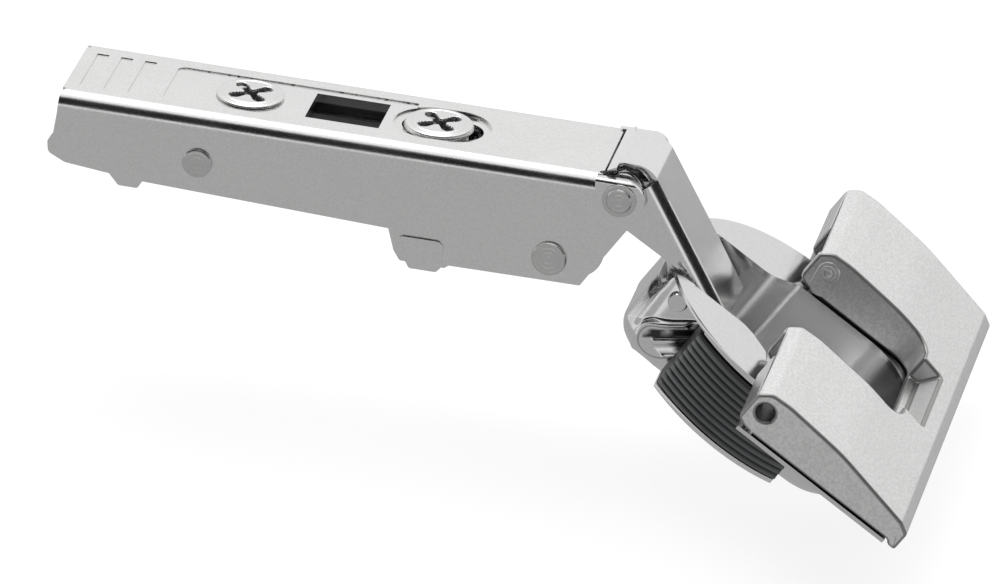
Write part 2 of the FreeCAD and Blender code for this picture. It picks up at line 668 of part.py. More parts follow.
def cup_lug(side):
    """Upright lug of the flange that carries one end of the flap's axis."""
    low = FLANGE_TOP - FLANGE_THICK
    y0, y1 = span(side, LUG_IN, LUG_IN + LUG_THICK)
    foot = side_plate([(FLAP_PIN_U - LUG_R, low), (FLAP_PIN_U - LUG_R, FLAP_PIN_N),
                       (FLAP_PIN_U + LUG_R, FLAP_PIN_N), (FLAP_PIN_U + LUG_R + 1.6, low)], y0, y1)
    return foot.fuse(rod(FLAP_PIN_U, FLAP_PIN_N, LUG_R, y0, y1))


def cup():
    low = FLANGE_TOP - FLANGE_THICK
    flange = wing_outline().extrude(V(0, 0, FLANGE_THICK))
    flange.translate(V(0, 0, low))
    tub = cup_pocket(0, CUP_FLOOR, FLANGE_TOP)
    inside = cup_pocket(CUP_WALL, CUP_FLOOR + CUP_WALL, FLANGE_TOP + 3)
    body = flange.fuse(tub)
    # The rear end is open above the links, so no leaf crosses it
    clear = block(-30, CUP_REAR_OPEN, CUP_WALL - CUP_HALF, CUP_HALF - CUP_WALL, REAR_LIP, 5)
    body = body.fuse(both(cup_lug))
    cuts = [inside, clear,
            rod(PIN_A_U, PIN_A_N, PIN_A_R + 0.01, -9, 9), rod(PIN_B_U, PIN_B_N, PIN_B_R + 0.01, -9, 9),
            rod(FLAP_PIN_U, FLAP_PIN_N, FLAP_PIN_R + RUN, -FLAP_HALF, FLAP_HALF)]
    cuts += both(cup_recess)
    return body.cut(cuts).removeSplitter()


def cup_recess(side):
    """Slot pressed into the cup's side round the lower pin."""
    y0, y1 = span(side, CUP_HALF - 0.4, CUP_HALF + 1)
    ends = ((-12.4, -8.3), (PIN_A_U + 0.6, PIN_A_N + 0.1))
    radius = 1.5
    rods = [rod(u, n, radius, y0, y1) for u, n in ends]
    along = V(ends[1][0] - ends[0][0], 0, ends[1][1] - ends[0][1]).normalize()
    across = V(-along.z, 0, along.x) * radius
    a, b = (V(u, y0, n) for u, n in ends)
    bar = Part.Face(Part.makePolygon([a + across, b + across, b - across, a - across, a + across]))
    return rods[0].fuse([rods[1], bar.extrude(V(0, y1 - y0, 0))])


def pin_outer():
    return rod(PIN_A_U, PIN_A_N, PIN_A_R, -CUP_HALF + 0.45, CUP_HALF - 0.45)


def pin_inner():
    body = rod(PIN_B_U, PIN_B_N, PIN_B_R, -CUP_HALF, CUP_HALF)
    domes = []
    for side in (-1, 1):
        ball = Part.makeSphere(PIN_B_R + 0.25, V(PIN_B_U, side * CUP_HALF, PIN_B_N))
        half = block(PIN_B_U - 3, PIN_B_U + 3, *span(side, CUP_HALF, CUP_HALF + 0.7),
                     PIN_B_N - 3, PIN_B_N + 3)
        domes.append(ball.common(half))
    return join(body, domes)


def flap_side(inset, back, low):
    """Side outline of the flap: highest over its axis and sloping to the tip."""
    drop = inset
    return [(back, low, 0.2), (back, 4.6 - drop, 1.0), (-0.9, 5.75 - drop, 1.2), (1.6, 5.9 - drop, 10),
            (9.4, 5.25 - drop, 25), (19.8, 3.05 - drop, 1.0), (21.2, 2.2 - drop, 0.6), (21.2, -0.3, 0.3),
            (FLANGE_END + 0.5, -0.3), (FLANGE_END + 0.3, low)]


def flap_lever():
    low = FLAP_LOW
    body = side_plate(flap_side(0, FLAP_BACK, low), -FLAP_HALF, FLAP_HALF)
    # Keep the rounded end clear of the flange as the lever swings
    behind = block(-9, FLAP_PIN_U, -FLAP_HALF - 1, FLAP_HALF + 1, -9, 9)
    sweep = rod(FLAP_PIN_U, FLAP_PIN_N, FLAP_SWING, -FLAP_HALF - 1, FLAP_HALF + 1)
    body = body.cut(behind.cut(sweep))
    # Opening between the legs, with rounded inner corners
    mouth = [(-9, -FLAP_IN), (MOUTH_FRONT, -FLAP_IN, 2.4), (MOUTH_FRONT, FLAP_IN, 2.4), (-9, FLAP_IN)]
    cuts = [flat_plate(mouth, -9, 12)]
    # Scoop in the bridge, sloping down to the opening
    cuts.append(side_plate([(12.5, 1.0), (MOUTH_FRONT + 1.4, 1.0), (MOUTH_FRONT + 3.2, 3.7),
                            (MOUTH_FRONT + 3.4, 9.0), (12.5, 9.0)], -6.8, 6.8))
    # Hollow underside of each leg, open behind round the lugs of the cup
    for side in (-1, 1):
        hollow = side_plate(flap_side(1.0, -6, low - 3), *span(side, FLAP_IN + FLAP_WALL, FLAP_RIB))
        cuts.append(hollow.common(block(-9, 12.0, -40, 40, -9, 12)))
        outer = side_plate(flap_side(1.0, FLAP_BACK + FLAP_WALL, low - 3),
                           *span(side, FLAP_PIN_END, FLAP_HALF - FLAP_WALL))
        cuts.append(outer.common(block(-9, 17.0, -40, 40, -9, 12)).cut(
            rod(FLAP_PIN_U, FLAP_PIN_N, END_HOLE_R + 1, -FLAP_HALF, FLAP_HALF)))
        cuts.append(rod(FLAP_PIN_U, FLAP_PIN_N, FLAP_PIN_R + 0.01, *span(side, 0, FLAP_PIN_END)))
        cuts.append(rod(FLAP_PIN_U, FLAP_PIN_N, END_HOLE_R,
                        *span(side, FLAP_HALF - END_HOLE_DEEP, FLAP_HALF + 1)))
    return body.cut(cuts).removeSplitter()


def flap_pin(side):
    return rod(FLAP_PIN_U, FLAP_PIN_N, FLAP_PIN_R, *span(side, FLAP_IN, FLAP_PIN_END))


def jaw_room(side, grow):
    """Plan of one side's clamp, kept clear of the cup's wall by `grow`."""
    plan = [(JAW_REAR, JAW_IN), (-5.2, JAW_IN), (-2.6, CUP_WIDE + grow), (JAW_FRONT, CUP_WIDE + grow),
            (JAW_FRONT, HOLE_R + 2), (JAW_REAR, HOLE_R + 2)]
    return flat_plate([(u, v * side) for u, v in plan], -20, 5)


def jaw(side):
    """Ribbed clamping jaw that fills the drilled hole beside the cup."""
    pitch = (JAW_TOP - JAW_LOW) / JAW_RIBS
    body = post(0, 0, HOLE_R - 0.45, JAW_LOW, JAW_TOP)
    ribs = [Part.makeCone(HOLE_R, HOLE_R - 0.4, pitch * 0.55, V(0, 0, JAW_LOW + i * pitch + 0.12))
            for i in range(JAW_RIBS)]
    body = body.fuse(ribs).common(jaw_room(side, GAP + JAW_TRAVEL + CARRIER_THICK))
    # Ramp under the flap's leg
    ramp = side_plate([(1.5, JAW_TOP + 1), (3.2, JAW_TOP - 1.5, 0.5), (9, JAW_TOP - 1.5), (9, JAW_TOP + 1)],
                      *span(side, HOLE_R - 3.2, HOLE_R + 1))
    return body.cut(ramp).removeSplitter()


def jaw_carrier(side):
    """Steel bracket on the cup's side that the jaw slides on."""
    low = JAW_LOW - GAP - CARRIER_THICK
    plate = post(0, 0, HOLE_R - 0.5, low, low + CARRIER_THICK).common(jaw_room(side, 0))
    wall = block(-2.4, JAW_FRONT - 0.4, *span(side, CUP_WIDE, CUP_WIDE + CARRIER_THICK),
                 low + 0.1, FLANGE_TOP - FLANGE_THICK)
    return plate.fuse(wall).removeSplitter()


def guide_plate(side):
    """Plate under the leaf that the jaw's top runs against."""
    top = FLANGE_TOP - FLANGE_THICK
    plate = post(0, 0, HOLE_R - 0.5, JAW_TOP + GAP, top).common(jaw_room(side, CARRIER_THICK))
    return plate.common(block(JAW_REAR + 0.4, JAW_FRONT, -20, 20, -20, 5)).removeSplitter()


def build():
    made = {"arm": arm(), "link_rivet": link_rivet(), "spring_rivet": spring_rivet(),
            "rear_rivet": rear_rivet(), "adapter": adapter(), "clip_lever": clip_lever(),
            "clip_pin": clip_pin(), "clip_spring": clip_spring(), "depth_screw": depth_screw(),
            "side_screw": side_screw(), "side_ring": side_ring(), "outer_link": outer_link(),
            "inner_link": inner_link(), "closing_spring": closing_spring()}
    for name, make in {"cup": cup, "pin_outer": pin_outer, "pin_inner": pin_inner,
                       "flap_lever": flap_lever}.items():
        made[name] = cup_place(make())
    for name, make in {"flap_pin": flap_pin, "jaw": jaw, "jaw_carrier": jaw_carrier,
                       "guide_plate": guide_plate}.items():
        made[name + "_near"] = cup_place(make(-1))
        made[name + "_far"] = cup_place(make(1))
    os.makedirs("parts", exist_ok=True)
    for name, shape in made.items():
        shape.translate(V(PIVOT_X, 0, WEB_TOP))
        shape.exportStep("parts/" + name + ".step")
        print(name, shape.isValid(), len(shape.Solids), round(shape.Volume, 1))


build()
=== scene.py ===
import math

import bpy
from mathutils import Matrix, Vector


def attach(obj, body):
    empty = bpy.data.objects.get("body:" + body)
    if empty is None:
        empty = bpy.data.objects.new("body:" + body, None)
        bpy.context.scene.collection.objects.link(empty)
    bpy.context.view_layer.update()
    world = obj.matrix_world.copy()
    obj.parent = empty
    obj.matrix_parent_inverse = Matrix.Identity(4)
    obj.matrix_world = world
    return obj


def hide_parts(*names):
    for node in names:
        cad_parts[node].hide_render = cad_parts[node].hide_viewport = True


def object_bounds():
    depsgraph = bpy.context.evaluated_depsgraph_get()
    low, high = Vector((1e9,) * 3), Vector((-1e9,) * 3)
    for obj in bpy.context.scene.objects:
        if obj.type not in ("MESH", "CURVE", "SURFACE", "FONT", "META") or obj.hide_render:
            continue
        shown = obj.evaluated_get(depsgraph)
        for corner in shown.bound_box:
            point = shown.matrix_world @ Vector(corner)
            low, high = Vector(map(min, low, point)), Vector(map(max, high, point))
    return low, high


# The looks of a concealed cup hinge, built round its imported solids.
# Values are in millimetres and degrees, in the solids' frame, unless a comment says metres.
# MM turns millimetres into metres. A pair of limits is where something starts and where it is full.
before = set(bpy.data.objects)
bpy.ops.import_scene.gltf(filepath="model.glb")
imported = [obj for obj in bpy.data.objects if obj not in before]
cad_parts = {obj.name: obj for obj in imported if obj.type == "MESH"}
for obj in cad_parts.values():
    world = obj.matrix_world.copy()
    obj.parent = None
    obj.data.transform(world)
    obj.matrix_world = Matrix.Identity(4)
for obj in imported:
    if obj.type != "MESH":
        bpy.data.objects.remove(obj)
cad_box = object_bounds()
MM = 0.001

# Where the arm's drawing origin lies (front pivot axis, top of the web)
ARM_ORIGIN = Vector((22.8, 0.0, 15.7))

# Camera, fitted to the photograph; how near and far it sees is in metres
CAM_AZIMUTH = 9.4253
CAM_ELEVATION = 25.0165
CAM_ROLL = 4.9989
CAM_DISTANCE = 1303.26
CAM_SIDE = 15.4257
CAM_UP = 15.8292
CAM_LENS = 407.94
SENSOR = 36.0
CAM_CLIP = (0.05, 10.0)

# Studio walls: their levels as the metal sees them, and limits in the direction's x, y and z
FAR_WALL = 0.93
CEILING = 1.08
SCREEN = 0.012
CEILING_Z = (0.55, 0.85)
FRONT_Y = (0.0, -0.3)
FRONT_Z = (0.12, 0.24, 0.93, 0.84)
RIGHT_X = (0.62, 0.8)
RIGHT_Z = (0.06, 0.16, 0.62, 0.48)

# Floor and lamp, in metres and watts; the level is what the metal sees of the floor
FLOOR_SEEN = 0.46
FLOOR_DIFFUSE = 0.24
FLOOR_GLOW = 0.85
FLOOR_SIZE = 4.0
FLOOR_DROP = 0.0006
KEY_PLACE = (-0.15, 0.25, 0.7)
KEY_AIM = (0.02, 0, 0)
KEY_SIZE = (0.5, 0.4)
KEY_POWER = 1.3

# Cup: its tilt, its origin (x, z), and the plan and corners of the plain wall in its own u, v, n
CUP_TURN = 122.2
CUP_ORIGIN = (43.37, -3.03)
CUP_BACK = -16.6
CUP_SIDE = 8.3
CUP_LOW = -11.7
BACK_HALF = 4.2
CORNER_LONG = 2.3
WALL_R = 3.2
FLOOR_R = 2.6

# Skin over that wall: its edges and grid, and where its top drops to the open rear
SKIN_TOP = -0.47
SKIN_FRONT = -7.3
SKIN_STEP = 0.14
SKIN_ROWS = 64
SKIN_THICK = 0.2
EDGE_STEPS = 9
EDGE_TURN = 84
EDGE_PROUD = 0.03
REAR_T = (-15.3, -16.2)
REAR_DROP = 3.1

# How far the skin stands out: rear field, flat side, the ridge between them, and the back
PLATEAU = 0.34
FLAT = 0.07
FLAT_FROM = (-0.1, 0.7)
FLAT_ABOVE = (2.2, 2.9)
RIDGE = 0.22
RIDGE_WIDE = 0.42
RIDGE_OFF = -0.3
RIDGE_ABOVE = (1.6, 2.6)
RIDGE_TOP_T = -15.5
RIDGE_LOW_T = -14.9
RIDGE_LONG = 9.0
BACK_SWELL = 0.28
BACK_SWELL_T = -16.9
BACK_SWELL_WIDE = 1.2
BACK_SWELL_N = (-1.5, -3.5)

# Where the skin thins out: the back's middle, the front end, and the open rear
BACK_THIN = 0.35
BACK_THIN_T = (-20.0, -17.0)
FRONT_THIN_T = (SKIN_FRONT - 0.8, SKIN_FRONT)
REAR_THIN_N = (-5.2, -3.4)
REAR_THIN_T = (-15.8, -16.6)

# Pressed slot: its ends (t, n), floor, half width, raised rim, and the ridge along its middle
SLOT_ENDS = ((-12.4, -8.3), (-9.3, -5.55))
SLOT_FLOOR = -0.12
SLOT_REACH = 1.95
SLOT_RIM = 0.28
SLOT_RIM_OFF = 2.15
SLOT_RIM_WIDE = 0.3
SLOT_RIDGE = 0.42
SLOT_RIDGE_OFF = (0.16, 0.62)

# The skin's limit where the jaws pass when they are drawn in, and behind them
JAW_LIMIT = 0.26
REAR_LIMIT = 0.76
JAW_T = (-11.4, -10.3)

# Painted shade in the slot: its upper flank, its far end from its high end, and a thin line round
# it
FLANK_ABOVE = (0.3, 0.6)
FLANK_OFF = (1.75, 1.35)
FAR_END = (-2.4, -1.4)
FAR_END_ABOVE = (-1.5, -1.0, 0.7, 0.2)
LINE_OFF = (1.82, 1.94, 2.16, 2.02)
LINE_SHARE = 0.45
# Noise limits that break the slot's painted shade into patches
SLOT_SHADE_BREAKUP = (0.20, 0.52)

# Cup: how deep under the leaf its duller steel starts. Arm: where painted shade starts in its
# channel
TUB_N = (-0.35, -0.9)
CHANNEL_SHADE_Z = (-8.5, -6.5)

# Outer link: its slope and knee, and where the painted shade of its inside starts below, past and
# beside them
LINK_SLOPE = 58.4
LINK_KNEE = Vector((26.6, 0.0, 15.0))
LINK_DEEP = (-0.65, -0.9)
LINK_PAST = (-0.2, 0.6)
LINK_INSIDE = (5.1, 4.8)

# Noises: waves per millimetre and detail, the streaks' stretch, and the bumps' height
CLOUDS = (0.12, 2.0)
STREAKS = (2.4, 3.0)
STREAK_STRETCH = (0.02, 1, 1)
PLASTIC_CLOUDS = (0.35, 3.0)
PLASTIC_GRAIN = (5.0, 3.0)
SLOT_PATCHES = (0.45, 1.5)
PANEL_PATCHES = (0.9, 2.0)
NOISE_MIDDLE = (0.3, 0.7)
MOTTLE_FROM = (0.36, 0.64)
METAL_BUMP = 0.006
PLASTIC_BUMP = 0.02

# Shares: darker clouds, roughness at both ends of the clouds, what the grain adds, spots to grain
CLOUD_DARK = 2.2
METAL_ROUGH = (0.85, 1.18)
PLASTIC_ROUGH = (0.85, 1.1)
PLASTIC_CLOUD = (0.85, 1.2)
# Colour share of the painted shade in the jaws' grooves
GROOVE_SHADE_SHARE = 0.22
GRAIN_ROUGH = 0.1
MOTTLE_SCALE = 0.9

# Turned rings on the rivets' ends (height in METAL_BUMPs); jaws' ribs from the hole's axis, with
# painted shade in the grooves
RING_PITCH = 0.55
RING_HEIGHT = 3.2
RIB_GROOVE = 16.8
RIB_CREST = 17.2

# Screw heads: rim, top, the ring near the rim, and the flared cross
HEAD_R = 3.95
HEAD_TOP = 0.32
HEAD_RING_R = 3.2
HEAD_RING_WIDE = 0.1
HEAD_RING_DEEP = 0.09
HEAD_EDGE = 0.12
HEAD_EDGE_R = (HEAD_R - 0.75, HEAD_R - 0.1)
HEAD_SIDES = 144
HEAD_RADII = [0.08 * i for i in range(1, 33)]
HEAD_RADII += [2.75, 3.0, 3.15, 3.2, 3.25, 3.3, 3.35, 3.5, 3.7, 3.82]
HEAD_PROFILE = [(HEAD_R - 0.04, HEAD_TOP - 0.15), (HEAD_R, HEAD_TOP - 0.2),
                (HEAD_R - 0.12, HEAD_TOP - 0.24), (HEAD_R - 0.02, HEAD_TOP - 0.28)]
# Painted shade: the cross recess's faces deeper than this below the top and within this radius
RECESS_SHADE = 0.2
RECESS_R = 2.7
CROSS_TURN = 40
CROSS_HALF = 0.4
CROSS_FLARE = 0.26
CROSS_FLARE_FROM = (0.5, 2.3)
CROSS_REACH = 2.0
CROSS_EDGE = 0.07
CROSS_DEEP = 1.5
CROSS_RISE = 0.25
CROSS_PIT = 1.6
CROSS_PIT_R = (0.65, 0.85)

# Turned profiles below the heads: radius and height from the arm's top
DEPTH_X = -45.33
DEPTH_SEAT = -0.1
DEPTH_PROFILE = [(2.2, -0.1), (2.2, -1.35), (6.3, -1.35), (6.35, -1.4), (6.35, -2.5), (6.3, -2.55)]
SIDE_X = -22.97
SIDE_SEAT = -0.02
SIDE_PROFILE = [(HEAD_R + 0.01, -0.03), (HEAD_R + 0.07, -0.07), (HEAD_R + 0.05, -0.12),
                (HEAD_R + 0.15, -0.18), (HEAD_R + 0.15, -0.28), (2.2, -0.28), (2.2, -2.05),
                (2.8, -2.05), (2.8, -7.9), (2.7, -8.0)]

# Sunk panel, from the arm's origin: middle depth of its step, its far edge and its ends
PANEL_MIDDLE = 0.08
PANEL_EDGE = 4.7
PANEL_X = (-54.2, -54.0, -26.7, -26.9)
PANEL_WIDE = (0.32, 0.22)
PANEL_HIGH = (0.076, 0.062)
PANEL_WORN = (0.38, 0.46)

# Boss on the flap's inner walls: u, n of its two ends, its outline and the pin's end
BOSS_TOP = (0.0, 3.5)
BOSS_LOW = (0.38, 1.6)
BOSS_R = 1.35
BOSS_LEVELS = [(BOSS_R + 0.04, -0.05), (BOSS_R, 0.10), (BOSS_R - 0.07, 0.19), (BOSS_R - 0.18, 0.22)]
PIN_RINGS = [(0.98, 0.15), (0.95, 0.27), (0.88, 0.32), (0.62, 0.33), (0.56, 0.27), (0.5, 0.33),
             (0.2, 0.34)]
BOSS_STEPS = 16
PIN_SIDES = 32
FLAP_WALL_V = 10.3

# Flap faces with painted light: its end from this u on, its scoop from this u and n on, and their
# slopes
LIP_FROM = 19.0
LIP_FACING = 0.6
SCOOP_FROM = 9.0
SCOOP_LOW = 1.0
SCOOP_SLOPE = (-0.2, 0.95)

# Welding distance, and the angles from which faces are flat and edges are rounded
WELD_WITHIN = 0.002
FLAT_WITHIN = 0.5
SHARP_FROM = 32
ROUND_STEPS = 3


# Node helpers
def node_tree(name):
    """A new material and its empty node tree."""
    mat = bpy.data.materials.new(name)
    mat.use_nodes = True
    mat.node_tree.nodes.clear()
    return mat, mat.node_tree


def put(tree, value, socket):
    """Links a socket to another, or writes a plain value into it."""
    if isinstance(value, bpy.types.NodeSocket):
        tree.links.new(value, socket)
    else:
        socket.default_value = value


def add(tree, kind, settings=None, **inputs):
    """A new node; an underscore stands for a space in an input's name."""
    node = tree.nodes.new(kind)
    for key, value in (settings or {}).items():
        setattr(node, key, value)
    for key, value in inputs.items():
        put(tree, value, node.inputs[key.replace("_", " ")])
    return node


def wire(tree, kind, settings, *values):
    """A new node whose first inputs are the values in their order."""
    node = add(tree, kind, settings)
    for index, value in enumerate(values):
        put(tree, value, node.inputs[index])
    return node


def calc(tree, operation, *values):
    return wire(tree, "ShaderNodeMath", {"operation": operation}, *values).outputs[0]


def vector(tree, operation, *values):
    return wire(tree, "ShaderNodeVectorMath", {"operation": operation}, *values)


def product(tree, *factors):
    result = factors[0]
    for factor in factors[1:]:
        result = calc(tree, "MULTIPLY", result, factor)
    return result


def mixed(tree, fac, a, b, blend="MIX"):
    """Colour a where fac is 0 and b where it is 1."""
    node = add(tree, "ShaderNodeMix", {"data_type": "RGBA", "blend_type": blend})
    for index, value in ((0, fac), (6, a), (7, b)):
        put(tree, value, node.inputs[index])
    return node.outputs[2]


def mixed_number(tree, fac, a, b):
    node = add(tree, "ShaderNodeMix", {"data_type": "FLOAT"})
    for index, value in ((0, fac), (2, a), (3, b)):
        put(tree, value, node.inputs[index])
    return node.outputs[0]


def spread(tree, value, low, high):
    """Stretches the middle of a noise to the numbers from low to high."""
    node = add(tree, "ShaderNodeMapRange", Value=value, From_Min=NOISE_MIDDLE[0],
               From_Max=NOISE_MIDDLE[1], To_Min=low, To_Max=high)
    return node.outputs[0]


def band(tree, value, low, high):
    """Rises from 0 at low to 1 at high; low above high makes it fall."""
    falls = low > high
    node = add(tree, "ShaderNodeMapRange", {"interpolation_type": "SMOOTHSTEP"}, Value=value,
               From_Min=min(low, high), From_Max=max(low, high),
               To_Min=1.0 if falls else 0.0, To_Max=0.0 if falls else 1.0)
    return node.outputs[0]


def window(tree, value, rise_low, rise_high, fall_high, fall_low):
    """Rises over the first two limits and falls over the last two."""
    rise = band(tree, value, rise_low, rise_high)
    return product(tree, rise, band(tree, value, fall_high, fall_low))


def object_place(tree):
    return add(tree, "ShaderNodeTexCoord").outputs["Object"]


def noise_at(tree, scale, detail, stretch=(1, 1, 1)):
    """Noise whose scale counts waves per millimetre; a stretch below 1 draws it out."""
    size = tuple(s / MM for s in stretch)
    mapping = add(tree, "ShaderNodeMapping", Vector=object_place(tree), Scale=size)
    node = add(tree, "ShaderNodeTexNoise", Vector=mapping.outputs["Vector"], Scale=scale,
               Detail=detail, Roughness=0.6)
    return node.outputs["Fac"]


def grey(level):
    return (level, level, level, 1)


def tinted(colour, share):
    return tuple(c * share for c in colour) + (1,)


def to_surface(tree, shader, kind="ShaderNodeOutputMaterial"):
    out = add(tree, kind)
    tree.links.new(shader.outputs[0], out.inputs["Surface"])


# Places on the object, in mm, for the materials
def along(tree, direction, offset):
    """Distance along a direction, from offset."""
    per_mm = [c / MM for c in direction]
    dot = vector(tree, "DOT_PRODUCT", object_place(tree), per_mm)
    return calc(tree, "SUBTRACT", dot.outputs["Value"], offset)


def off_middle(tree):
    """Distance from the plane that halves the hinge."""
    return calc(tree, "ABSOLUTE", along(tree, (0, 1, 0), 0))


def from_axis(tree, a, b):
    """Distance from the line where both values are 0."""
    both = add(tree, "ShaderNodeCombineXYZ", X=a, Y=b)
    return vector(tree, "LENGTH", both.outputs[0]).outputs["Value"]


def cup_direction(u, n):
    """The frame's x and z of a direction in the cup's u and n."""
    turn = math.radians(CUP_TURN)
    return u * math.sin(turn) - n * math.cos(turn), u * math.cos(turn) + n * math.sin(turn)


def along_cup(tree, u, n, offset=0.0):
    """Distance from the cup's origin, and then from offset, along a direction in its u and n."""
    x, z = cup_direction(u, n)
    return along(tree, (x, 0, z), CUP_ORIGIN[0] * x + CUP_ORIGIN[1] * z + offset)


def inside_cup(tree):
    """The drawn tub below the leaf: duller than its flange."""
    return band(tree, along_cup(tree, 0, 1), *TUB_N)


def link_painted_shade(tree):
    """Painted shade between the link's flanges, under its top sheet and past its knee."""
    turn = math.radians(LINK_SLOPE)
    out = Vector((math.sin(turn), 0, math.cos(turn)))
    down = Vector((math.cos(turn), 0, -math.sin(turn)))
    deep = band(tree, along(tree, out, out.dot(LINK_KNEE)), *LINK_DEEP)
    past = band(tree, along(tree, down, down.dot(LINK_KNEE)), *LINK_PAST)
    return product(tree, deep, past, band(tree, off_middle(tree), *LINK_INSIDE))


def slot_axes(tree):
    """Along the pressed slot from its low end, above its middle line, and the slot's length."""
    (low_u, low_n), (high_u, high_n) = SLOT_ENDS
    length = math.hypot(high_u - low_u, high_n - low_n)
    u, n = (high_u - low_u) / length, (high_n - low_n) / length
    lengthwise = along_cup(tree, u, n, u * low_u + n * low_n)
    above = along_cup(tree, -n, u, u * low_n - n * low_u)
    return lengthwise, above, length


def slot_painted_shade(tree):
    """Painted shade on the upper flank and the far end of the pressed slot, and on a thin line
    round it.
    """
    lengthwise, above, length = slot_axes(tree)
    before = calc(tree, "MAXIMUM", 0.0, calc(tree, "MULTIPLY", lengthwise, -1.0))
    off = from_axis(tree, before, above)
    flank = product(tree, band(tree, above, *FLANK_ABOVE), band(tree, off, *FLANK_OFF))
    end = product(tree, band(tree, lengthwise, *(length + limit for limit in FAR_END)),
                  window(tree, above, *FAR_END_ABOVE))
    line = product(tree, window(tree, off, *LINE_OFF), LINE_SHARE)
    # Noise breaks the painted shade into patches
    patchy = band(tree, noise_at(tree, *SLOT_PATCHES), *SLOT_SHADE_BREAKUP)
    dark = product(tree, calc(tree, "MAXIMUM", flank, end), patchy)
    return calc(tree, "MAXIMUM", dark, line)


def panel_step(tree):
    """Worn places along the far edge of the sunk panel."""
    edge = calc(tree, "ABSOLUTE", along(tree, (0, 1, 0), PANEL_EDGE))
    level = calc(tree, "ABSOLUTE", along(tree, (0, 0, 1), ARM_ORIGIN.z - PANEL_MIDDLE))
    near = product(tree, band(tree, edge, *PANEL_WIDE), band(tree, level, *PANEL_HIGH))
    worn = band(tree, noise_at(tree, *PANEL_PATCHES), *PANEL_WORN)
    return product(tree, near, worn, window(tree, along(tree, (1, 0, 0), ARM_ORIGIN.x), *PANEL_X))


def channel_painted_shade(tree):
    """Painted shade deep in the arm's channel."""
    return band(tree, along(tree, (0, 0, 1), ARM_ORIGIN.z), *CHANNEL_SHADE_Z)


# Materials
def speckled(tree, base, scale, depth):
    """A colour with slightly darker spots."""
    spots = band(tree, noise_at(tree, scale, 2.0), *MOTTLE_FROM)
    return mixed(tree, 1.0, base, mixed(tree, spots, grey(1 - depth), grey(1)), "MULTIPLY")


def turned_rings(tree, x, z):
    """Waves round an axis that lies across the hinge."""
    flat = vector(tree, "MULTIPLY", object_place(tree), (1, 0, 1))
    off = vector(tree, "DISTANCE", flat.outputs[0], (x * MM, 0, z * MM))
    turns = calc(tree, "MULTIPLY", off.outputs["Value"], 2 * math.pi / (RING_PITCH * MM))
    return calc(tree, "SINE", turns)


def metal(name, colour, rough, streak=0.0, grain=0.0, cloud=0.06, grain_scale=3.0, mottle=0.04,
          shade=None, shade_colour=0.2, shade_rough=0.3, rings=None, metallic=1.0):
    """Plated steel or casting: cloudy colour, rolled streaks and fine grain.

    shade gives the places that take shade_colour and shade_rough, painted shade in some looks;
    rings gives the x and z of an end with turned rings.
    """
    mat, tree = node_tree(name)
    soft = noise_at(tree, *CLOUDS)
    fine = noise_at(tree, grain_scale, 4.0)
    base = mixed(tree, soft, tinted(colour, 1 - cloud * CLOUD_DARK), tinted(colour, 1))
    base = speckled(tree, base, grain_scale * MOTTLE_SCALE, mottle)
    roughness = spread(tree, soft, *(rough * share for share in METAL_ROUGH))
    roughness = calc(tree, "MULTIPLY_ADD", fine, GRAIN_ROUGH, roughness)
    if shade:
        # Where a look paints shade, its colour turns to shade_colour here
        mask = shade(tree)
        base = mixed(tree, mask, base, grey(shade_colour))
        roughness = mixed_number(tree, mask, roughness, shade_rough)
    height = calc(tree, "MULTIPLY", fine, grain)
    if rings:
        height = calc(tree, "MULTIPLY_ADD", turned_rings(tree, *rings), RING_HEIGHT, height)
    lines = noise_at(tree, *STREAKS, STREAK_STRETCH)
    height = calc(tree, "MULTIPLY_ADD", lines, streak, height)
    bump = add(tree, "ShaderNodeBump", Strength=1.0, Distance=METAL_BUMP * MM, Height=height)
    shader = add(tree, "ShaderNodeBsdfPrincipled", Base_Color=base, Metallic=metallic,
                 Roughness=roughness, Normal=bump.outputs["Normal"])
    to_surface(tree, shader)
    return mat


def plastic(name, colour, rough):
    """Moulded plastic: clouds, a faint grain, and painted shade in the grooves between the ribs."""
    mat, tree = node_tree(name)
    soft = noise_at(tree, *PLASTIC_CLOUDS)
    fine = noise_at(tree, *PLASTIC_GRAIN)
    base = mixed(tree, soft, *(tinted(colour, share) for share in PLASTIC_CLOUD))
    # Painted shade in the grooves between the jaws' ribs
    off = from_axis(tree, along_cup(tree, 1, 0), along(tree, (0, 1, 0), 0))
    base = mixed(tree, band(tree, off, RIB_GROOVE, RIB_CREST), tinted(colour, GROOVE_SHADE_SHARE), base)
    bump = add(tree, "ShaderNodeBump", Strength=0.5, Distance=PLASTIC_BUMP * MM, Height=fine)
    roughness = spread(tree, fine, *(rough * share for share in PLASTIC_ROUGH))
    shader = add(tree, "ShaderNodeBsdfPrincipled", Base_Color=base, Roughness=roughness,
                 Normal=bump.outputs["Normal"])
    to_surface(tree, shader)
    return mat


